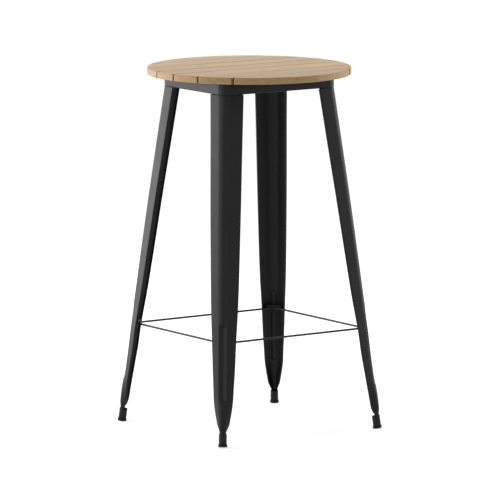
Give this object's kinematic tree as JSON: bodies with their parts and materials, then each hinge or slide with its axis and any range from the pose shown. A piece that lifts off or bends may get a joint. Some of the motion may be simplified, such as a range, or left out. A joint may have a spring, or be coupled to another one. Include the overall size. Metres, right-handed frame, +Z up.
{
  "type": "bar-height garden table",
  "caption": "Round slatted wood top on a folded steel apron, with splayed pressed-steel legs, a wire footrest ring and rubber foot caps.",
  "frame": {"origin": "on the ground, under the middle of the round top", "axes": "+Z up, +X along the slats and the apron's longer sides, +Y towards the back"},
  "size_m": [0.6, 0.6, 1.068],
  "materials": {
    "slat_wood": "light teak-coloured, oiled, satin",
    "frame_steel": "black powder coat, satin",
    "foot_rubber": "matt black",
    "fastener_steel": "zinc plated"
  },
  "bodies": {
    "root": {"slat_1": "slat_wood", "slat_2": "slat_wood", "slat_3": "slat_wood", "slat_4": "slat_wood", "slat_5": "slat_wood", "slat_6": "slat_wood", "slat_7": "slat_wood", "batten_left": "frame_steel", "batten_right": "frame_steel", "apron_frame": "frame_steel", "leg_front_left": "frame_steel", "leg_front_right": "frame_steel", "leg_back_left": "frame_steel", "leg_back_right": "frame_steel", "leg_plates": "frame_steel", "footrest_ring": "frame_steel", "ring_brackets": "frame_steel", "foot_tubes": "frame_steel", "foot_caps": "foot_rubber", "leg_bolts": "fastener_steel", "leg_nuts": "fastener_steel"}
  },
  "joints": []
}
